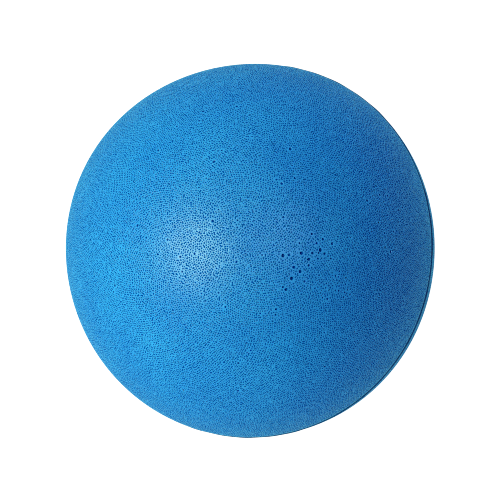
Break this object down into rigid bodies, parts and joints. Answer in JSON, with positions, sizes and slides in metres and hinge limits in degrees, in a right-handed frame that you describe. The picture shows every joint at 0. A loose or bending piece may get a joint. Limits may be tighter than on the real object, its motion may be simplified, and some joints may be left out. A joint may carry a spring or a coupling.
{
  "type": "hand exercise ball",
  "caption": "Solid soft foam ball with a thin moulded skin, a fine parting bead round its middle and a trimmed gate mark at one pole, squeezed in the hand for grip and finger exercise.",
  "frame": {"origin": "centre of the ball", "axes": "+Z along the opening direction of the mould, so the parting bead lies in the XY plane and the gate mark is at the -Z pole; X and Y are free, because the ball is round about Z"},
  "size_m": [0.0632, 0.0632, 0.063],
  "materials": {
    "foam_core": "open-celled soft foam, coloured through, matte",
    "foam_skin": "self-skinned soft foam with fine pinholes, coloured through, matte",
    "parting_bead": "dense trimmed bead of the same foam, darker, matte",
    "gate_foam": "the same foam with a knife-cut face of open cells, matte"
  },
  "bodies": {
    "root": {"foam_core": "foam_core", "skin_top": "foam_skin", "skin_bottom": "foam_skin", "parting_seam": "parting_bead", "gate_plug": "gate_foam"}
  },
  "joints": []
}
